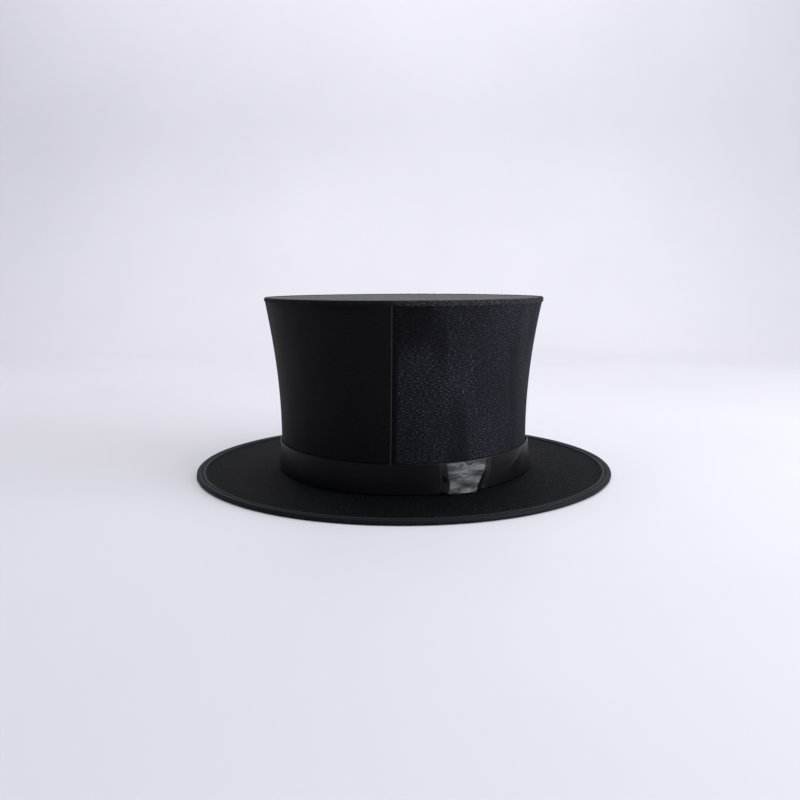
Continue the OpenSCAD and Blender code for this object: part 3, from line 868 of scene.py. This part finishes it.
def make_tip():
    """The flat crown top, and the welt round its edge: a thin fold at the left and a coarse nap at the right."""

    def skin(x, y, share, turns):
        places = zip(x * share, y * share)
        ripple = np.array([noise.noise(Vector((a / 0.06, b / 0.06, 5.0))) for a, b in places])
        return HAT_TOP - 0.55 * MM - 0.35 * MM * (1 - share**2) + 0.25 * MM * ripple * (1 - share**8)

    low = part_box("tip_cover")[0]
    tip = disc_object("crown_tip", FLARE - 1.4 * MM, 360, np.linspace(1, 0.02, 40), skin, 0.1, low.z)
    dress(tip, TIP_CLOTH, "crown_cloth", "crown_top", "tip_cover")

    centre_z = (RIM_LOW + HAT_TOP) / 2
    section = []
    sides = 22
    for k in range(sides):
        a = 2 * math.pi * k / sides
        section.append((FLARE - 0.9 * MM + 0.95 * MM * math.cos(a), centre_z + (HAT_TOP - RIM_LOW) / 2 * math.sin(a)))
    turns = turns_by_length(FLARE, 0.55 * MM)[0]
    right = 0.5 + 0.5 * np.tanh((np.cos(turns) + 0.02) / 0.06)

    def shape(s, k, out, z):
        t = turns[:, None]
        coarse = round_wobble(t, z * 3, 0.0016, 3.0) + 0.6 * round_wobble(t, z * 3, 0.0008, 5.0)
        lump = coarse * (0.05 + 0.20 * right[:, None]) * MM
        thin = (1 - right[:, None]) * 0.35 * MM
        return out + lump - thin * 0.6, z + lump * 0.6 + np.where(z < centre_z, thin * 1.8, -thin * 0.2)

    welt = sweep("crown_welt", turns, section, shape)
    dress(welt, WELT_CLOTH, "edge_cloth", "crown_top", "tip_binding")
    make_nap(turns, right, centre_z)

    def pleated(x, y, share, turns):
        return low.z + 0.12 * MM * np.sin(turns * 40) * share * (1 - share**6)

    low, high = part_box("tip_lining")
    shares = np.linspace(1, 0.03, 24)
    lining = disc_object("crown_top_lining", high.x - WAIST_X, 240, shares, pleated, 0.08, high.z)
    dress(lining, LINING, "lining", "crown_top", "tip_lining")


NAP_FIBRES = 5200  # tried; a fibre that falls on the smooth part is left out


def make_nap(turns, right, centre_z):
    """Short loose fibres on the coarse part of the crown's welt."""
    rng = random.Random(11)
    verts, faces = [], []
    for _ in range(NAP_FIBRES):
        k = rng.randrange(len(turns))
        if rng.random() > right[k] + 0.04:
            continue
        turn = float(turns[k])
        tilt = rng.uniform(-1.5, 2.2)
        x, y = oval(turn, FLARE - 0.9 * MM + 0.9 * MM * math.cos(tilt))
        root = Vector((float(x), float(y), centre_z + 1.5 * MM * math.sin(tilt)))
        normal = Vector((math.cos(turn) * math.cos(tilt), math.sin(turn) * math.cos(tilt), math.sin(tilt)))
        stray = Vector((rng.uniform(-1, 1), rng.uniform(-1, 1), rng.uniform(-0.8, 0.8)))
        way = (normal * rng.uniform(0.25, 0.8) + stray * 0.8).normalized()
        length, width = rng.uniform(0.35, 1.0) * MM, 0.06 * MM
        side = way.orthogonal().normalized()
        other = way.cross(side)
        base = len(verts)
        for j in range(3):
            a = 2 * math.pi * j / 3
            verts.append(root + (side * math.cos(a) + other * math.sin(a)) * width)
        verts.append(root + way * length)
        faces += [tuple(base + k for k in face) for face in ((0, 1, 3), (1, 2, 3), (2, 0, 3), (2, 1, 0))]
    mesh = bpy.data.meshes.new("crown_welt_nap")
    mesh.from_pydata(verts, [], faces)
    dress(link("crown_welt_nap", mesh), WELT_CLOTH, "edge_cloth", "crown_top")


# ---------------------------------------------------------------- inside

def make_inside():
    """The side lining, and the sweatband with its stitches and bow."""
    low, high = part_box("side_lining")
    outer = high.x - WAIST_X
    thick = 0.35 * MM
    rows = 40
    heights = np.linspace(low.z - 0.5 * MM, high.z, rows)
    section = [(outer, z) for z in heights] + [(outer - thick, z) for z in heights[::-1]]
    turns = full_turn(480)

    def shape(s, k, out, z):
        t = turns[:, None]
        share = (z - heights[0]) / (heights[-1] - heights[0])
        pleats = round_wobble(t, z * 0.1, 0.010, 2.0) * 0.35 * MM
        return out + np.minimum(pleats, 0.0) * np.sin(share * math.pi), z

    lining = sweep("crown_side_lining", turns, section, shape)
    dress(lining, LINING, "lining", "hat_base", "side_lining")
    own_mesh(lining)

    low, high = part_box("sweatband")
    outer, inner = SWEAT_OUT, SWEAT_OUT - 0.9 * MM
    rows = 16
    heights = np.linspace(low.z, high.z, rows)
    section = [(outer, z) for z in heights] + [(inner, z) for z in heights[::-1]]

    def leather_shape(s, k, out, z):
        t = turns[:, None]
        soft = round_wobble(t, z, 0.03, 7.0) * 0.15 * MM
        groove = 0.25 * MM * hump(z - low.z - 2.2 * MM, 0.5 * MM)
        return out + np.where(k >= rows, soft * 0.5 + groove, 0), z

    band = sweep("sweatband_leather", turns, section, leather_shape)
    dress(band, LEATHER, "sweatband_leather", "hat_base", "sweatband")
    seam_out = inner + 0.12 * MM
    turns = turns_by_length(seam_out, 2.6 * MM)[0]
    seam = stitches("sweatband_stitches", seam_out, low.z + 2.2 * MM, turns, 0.62, 0.16 * MM, inward=True)
    dress(seam, THREAD, "sweatband_leather", "hat_base")
    make_bow()


def make_bow():
    """The small ribbon bow at the back of the sweatband: two loops and a knot."""
    low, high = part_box("sweatband_bow")
    centre = (low + high) / 2
    wall_y = low.y
    rows, sides = 26, 8
    for number, side in enumerate((-1, 1)):
        points = np.zeros((rows, sides, 3))
        uvs = np.zeros((rows + 1, sides + 1, 2))
        for i in range(rows):
            a = 2 * math.pi * i / rows
            reach = (high.x - centre.x) * (0.5 - 0.5 * math.cos(a))
            puff = 0.9 * MM * math.sin(a)
            half = 1.1 * MM + 1.9 * MM * (reach / (high.x - centre.x)) ** 0.7
            for j in range(sides):
                b = 2 * math.pi * j / sides
                points[i, j] = (
                    centre.x + side * (reach + 0.12 * MM * math.cos(b)),
                    wall_y + 1.25 * MM + puff + 0.16 * MM * math.cos(b),
                    centre.z + half * math.sin(b),
                )
        uvs[:, :, 0] = np.arange(rows + 1)[:, None] * 0.7 * MM
        uvs[:, :, 1] = np.arange(sides + 1)[None, :] * 0.7 * MM
        loop = grid_object(f"bow_loop_{number}", points, uvs, close_u=True, close_v=True)
        dress(loop, RIBBON, "ribbon", "hat_base", *(["sweatband_bow"] if number == 0 else []))
    rows, sides = 14, 14
    points = np.zeros((rows, sides, 3))
    for i in range(rows):
        a = math.pi * (i + 0.5) / rows
        for j in range(sides):
            b = 2 * math.pi * j / sides
            points[i, j] = (
                centre.x + 1.5 * MM * math.sin(a) * math.cos(b) * (1 + 0.1 * math.cos(3 * b)),
                wall_y + 1.35 * MM + 1.25 * MM * math.sin(a) * math.sin(b),
                centre.z + 1.9 * MM * math.cos(a),
            )
    uvs = np.stack(np.meshgrid(np.arange(rows) * 0.4 * MM, np.arange(sides + 1) * 0.4 * MM, indexing="ij"), 2)
    knot = grid_object("bow_knot", points, uvs, close_v=True)
    cap_ends(knot, rows, sides)
    dress(knot, RIBBON, "ribbon", "hat_base")


# ---------------------------------------------------------------- folding struts

def make_knee_springs():
    """A wound spring round each knee pin. Its coil and lower leg ride on the lower arm, its other leg on the upper."""
    wire = 0.35 * MM
    loops, per = 2, 18
    up = Vector((0, 0, 1))
    for place in ("back", "front", "left", "right"):
        joint = JOINTS[f"knee_{place}"]
        pivot, axis = Vector(joint["pos_m"]), Vector(joint["axis"])
        fold = axis.cross(up)
        out = -axis
        coil = []
        for k in range(loops * per + 1):
            a = 2 * math.pi * k / per
            depth = 1.35 * MM + 0.36 * MM * (k / (loops * per) - 0.5)
            coil.append(pivot + out * depth + (fold * math.cos(a) - up * math.sin(a)) * 1.6 * MM)
        lower = [coil[0] - up * t * MM for t in (15.5, 12, 8, 4, 1)]
        spring = wire_object(f"knee_coil_{place}", lower + coil, wire)
        dress(spring, RIVET_STEEL, "rivet_steel", f"lower_arm_{place}", f"knee_spring_{place}")
        side = pivot + out * 1.35 * MM - fold * 1.6 * MM
        leg = [side + up * t * MM for t in (0.6, 4, 9, 14, 15.2)]
        leg += [side + up * 15.8 * MM - out * hook * MM for hook in (0.5, 1.25)]
        upper = wire_object(f"knee_leg_{place}", leg, wire)
        dress(upper, RIVET_STEEL, "rivet_steel", f"upper_arm_{place}")


def wire_object(name, path, radius, sides=8):
    """A round wire along a path, as a closed mesh."""
    path = [Vector(p) for p in path]
    points = np.zeros((len(path), sides, 3))
    side = None
    for i, p in enumerate(path):
        a, b = path[max(i - 1, 0)], path[min(i + 1, len(path) - 1)]
        way = (b - a).normalized()
        side = way.orthogonal().normalized() if side is None else (side - way * side.dot(way)).normalized()
        other = way.cross(side)
        for j in range(sides):
            t = 2 * math.pi * j / sides
            points[i, j] = p + (side * math.cos(t) + other * math.sin(t)) * radius
    uvs = np.stack(np.meshgrid(np.arange(len(path)) * MM, np.arange(sides + 1) * 0.3 * MM, indexing="ij"), 2)
    obj = grid_object(name, points, uvs, close_v=True)
    cap_ends(obj, len(path), sides)
    return obj


def dress_cad():
    """The CAD pieces whose shape is already right get their materials."""
    by_slot = {"spring_steel": SPRING_STEEL, "rivet_steel": RIVET_STEEL, "stiff_board": BOARD}
    for part in frame["record"]["subparts"]:
        node = frame["nodes"][part["node"]]
        material = by_slot.get(part["material_slot"])
        if material is not None and not node.hide_render:
            node.data.materials.clear()
            node.data.materials.append(material)


# ---------------------------------------------------------------- stage, light and camera

def make_stage():
    """A pale floor that curves up into a pale wall."""
    n = Nodes("pale_paper")
    cloud = n.noise(n.coords("Object"), 3, detail=3.0)
    n.colour(n.ramp(cloud, [(0.3, (0.655, 0.65, 0.68)), (0.7, (0.685, 0.68, 0.71))]))
    n.put(rough=0.6, specular=0.3)
    behind, bend = 0.9, 0.5
    profile = [(-3.0, 0.0), (behind, 0.0)]
    for k in range(1, 13):
        a = math.radians(90 * k / 12)
        profile.append((behind + bend * math.sin(a), bend * (1 - math.cos(a))))
    profile.append((behind + bend, 2.6))
    xs = np.linspace(-3.5, 3.5, 8)
    points = np.array([[(x, y, z) for y, z in profile] for x in xs])
    uvs = np.zeros((len(xs), len(profile), 2))
    floor = grid_object("paper_sweep", points, uvs)
    floor.data.materials.append(n.material)


def area_light(name, at, aim, size, power, colour):
    data = bpy.data.lights.new(name, "AREA")
    data.shape = "RECTANGLE"
    data.size, data.size_y = size
    data.energy = power
    data.color = colour
    obj = link(name, data)
    obj.location = at
    obj.rotation_euler = (Vector(aim) - Vector(at)).to_track_quat("-Z", "Y").to_euler()


def around(azimuth, elevation, distance, height=0.05):
    """A point round the hat: azimuth from +X towards +Y, in degrees."""
    a, e = math.radians(azimuth), math.radians(elevation)
    level = distance * math.cos(e)
    return level * math.cos(a), level * math.sin(a), height + distance * math.sin(e)


def make_lights():
    """A pale room, a broad light overhead and a low window to the right of the camera."""
    world = bpy.data.worlds.new("room")
    bpy.context.scene.world = world
    world.use_nodes = True
    sky = world.node_tree.nodes["Background"].inputs
    sky["Color"].default_value = (0.84, 0.86, 0.95, 1)
    sky["Strength"].default_value = 0.42
    aim = (0, 0, 0.06)
    area_light("window", around(-24, 17, 1.3), aim, (1.2, 0.4), 16.5, (0.89, 0.90, 1.0))
    area_light("overhead", (0.4, 0.1, 2.0), (0.0, 0.3, 0), (1.8, 1.8), 21, (1.0, 0.99, 1.0))
    area_light("wall", (-0.3, 0.5, 1.7), (-0.4, 1.4, 0.5), (1.4, 0.9), 11, (1.0, 0.98, 1.0))


def make_camera():
    """The picture's camera: low behind the hat, a hair to the left of its middle, and looking slightly down."""
    distance, height, aside = 0.6905, 0.1499, -0.0028
    pitch, roll = math.radians(7.967), math.radians(0.155)
    focal_share = 1.0965  # focal length for each unit of the picture's width
    data = bpy.data.cameras.new("camera")
    data.sensor_width = 36
    data.lens = data.sensor_width * focal_share
    camera = link("camera", data)
    turn = Matrix.Rotation(math.radians(90) - pitch, 4, "X") @ Matrix.Rotation(-roll, 4, "Z")
    camera.matrix_world = Matrix.Translation((aside, -distance, height)) @ turn
    bpy.context.scene.camera = camera


# ---------------------------------------------------------------- the whole hat

bpy.context.scene.view_settings.view_transform = "Standard"
make_camera()
make_brim()
make_band()
make_gather()
make_side_covers()
make_tip()
make_inside()
make_knee_springs()
dress_cad()
make_stage()
make_lights()
